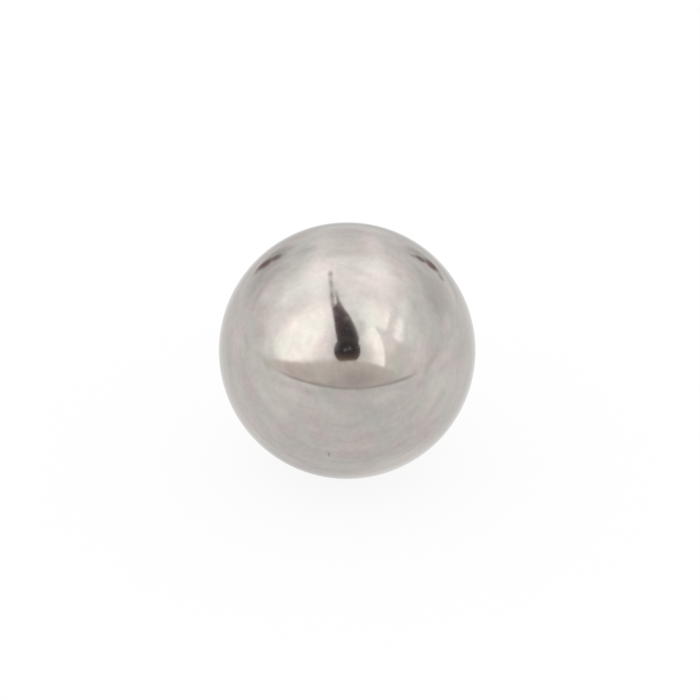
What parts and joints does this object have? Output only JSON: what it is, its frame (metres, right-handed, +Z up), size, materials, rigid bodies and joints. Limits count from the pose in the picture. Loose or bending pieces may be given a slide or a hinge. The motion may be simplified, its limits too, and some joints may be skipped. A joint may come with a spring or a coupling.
{
  "type": "steel ball",
  "caption": "Solid polished steel ball: a plain full sphere that rolls in a race, seats in a cup or socket, or serves as a small weight.",
  "frame": {"origin": "centre of the ball", "axes": "+Z up, away from the seat that the ball lies in; +X to the right and -Y towards the viewer, which are a free choice on a sphere"},
  "size_m": [0.016, 0.016, 0.016],
  "materials": {
    "polished_steel": "polished"
  },
  "bodies": {
    "root": {"ball": "polished_steel"}
  },
  "joints": []
}
